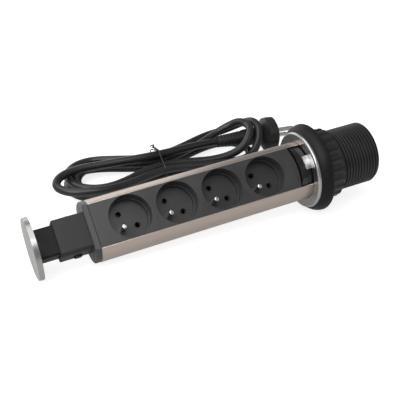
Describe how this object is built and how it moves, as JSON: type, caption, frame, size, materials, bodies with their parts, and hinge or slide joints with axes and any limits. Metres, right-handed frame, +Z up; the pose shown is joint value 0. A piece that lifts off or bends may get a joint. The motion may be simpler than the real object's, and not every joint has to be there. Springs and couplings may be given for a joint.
{
  "type": "pop up desk socket",
  "caption": "Desk socket tower raised out of its clamp collar, with recessed power sockets along a flat face, a cap on a short neck, and a mains lead tied in a hank.",
  "frame": {"origin": "centre of the bounding box's bottom without the mains lead, on the table it lies on", "axes": "+X along the tower from its cap towards the threaded sleeve, leaning up by about three degrees; +Z up"},
  "size_m": [0.3638, 0.1996, 0.0851],
  "materials": {
    "aluminium_shell": "satin brushed",
    "steel": "brushed",
    "socket_plastic": "fine matte",
    "neck_plastic": "matte",
    "gloss_black": "glossy",
    "bezel_rubber": "satin",
    "thread_plastic": "satin",
    "nickel": "polished",
    "brass": "satin",
    "cord_jacket": "satin",
    "tie_plastic": "satin"
  },
  "bodies": {
    "collar": {"flange_ring": "steel", "bezel_flange": "bezel_rubber", "threaded_sleeve": "thread_plastic"},
    "tower": {"housing_extrusion": "aluminium_shell", "socket_module_1": "socket_plastic", "socket_module_2": "socket_plastic", "socket_module_3": "socket_plastic", "socket_module_4": "socket_plastic", "earth_pin_1": "nickel", "earth_pin_2": "nickel", "earth_pin_3": "nickel", "earth_pin_4": "nickel", "busbar_live": "brass", "busbar_neutral": "brass", "busbar_earth": "brass", "contact_carrier": "socket_plastic", "terminal_block": "socket_plastic", "latch_block": "gloss_black", "spring_catch": "nickel", "end_plate": "neck_plastic", "neck_housing": "neck_plastic", "bottom_cap": "gloss_black", "cord_gland": "socket_plastic", "cord_lead": "cord_jacket", "cord_hank": "cord_jacket", "twist_tie": "tie_plastic", "plug_body": "cord_jacket", "plug_strain_relief": "cord_jacket", "plug_pin_1": "nickel", "plug_pin_2": "nickel", "plug_earth_clip_upper": "nickel", "plug_earth_clip_lower": "nickel"},
    "cap": {"cap_disc": "steel", "cap_stem": "gloss_black"},
    "button_upper": {"release_button_upper": "neck_plastic"},
    "button_lower": {"release_button_lower": "neck_plastic"},
    "washer": {"clamp_washer": "thread_plastic"},
    "nut": {"clamp_nut": "thread_plastic"}
  },
  "joints": [
    {"name": "tower_slide", "type": "slide", "parent": "collar", "child": "tower", "axis": [0.9984, 0, 0.0558], "range_m": [0, 0.2434]},
    {"name": "cap_push", "type": "slide", "parent": "tower", "child": "cap", "axis": [0.9984, 0, 0.0558], "range_m": [0, 0.0169], "stiffness_N_per_m": 300, "springref_m": -0.006},
    {"name": "button_upper_press", "type": "slide", "parent": "tower", "child": "button_upper", "axis": [0.0384, -0.7254, -0.6873], "range_m": [0, 0.0015], "stiffness_N_per_m": 700, "springref_m": -0.001},
    {"name": "button_lower_press", "type": "slide", "parent": "tower", "child": "button_lower", "axis": [-0.0384, 0.7254, 0.6873], "range_m": [0, 0.0015], "stiffness_N_per_m": 700, "springref_m": -0.001},
    {"name": "washer_travel", "type": "slide", "parent": "collar", "child": "washer", "axis": [0.9984, 0, 0.0558], "range_m": [0, 0.036]},
    {"name": "nut_spin", "type": "hinge", "parent": "washer", "child": "nut", "pos_m": [0.11907, 0, 0.04312], "axis": [0.9984, 0, 0.0558], "range_deg": [0, 4049]}
  ],
  "couplings": [
    {"joint": "washer_travel", "follows": "nut_spin", "m_per_rad": 0.0005093}
  ]
}
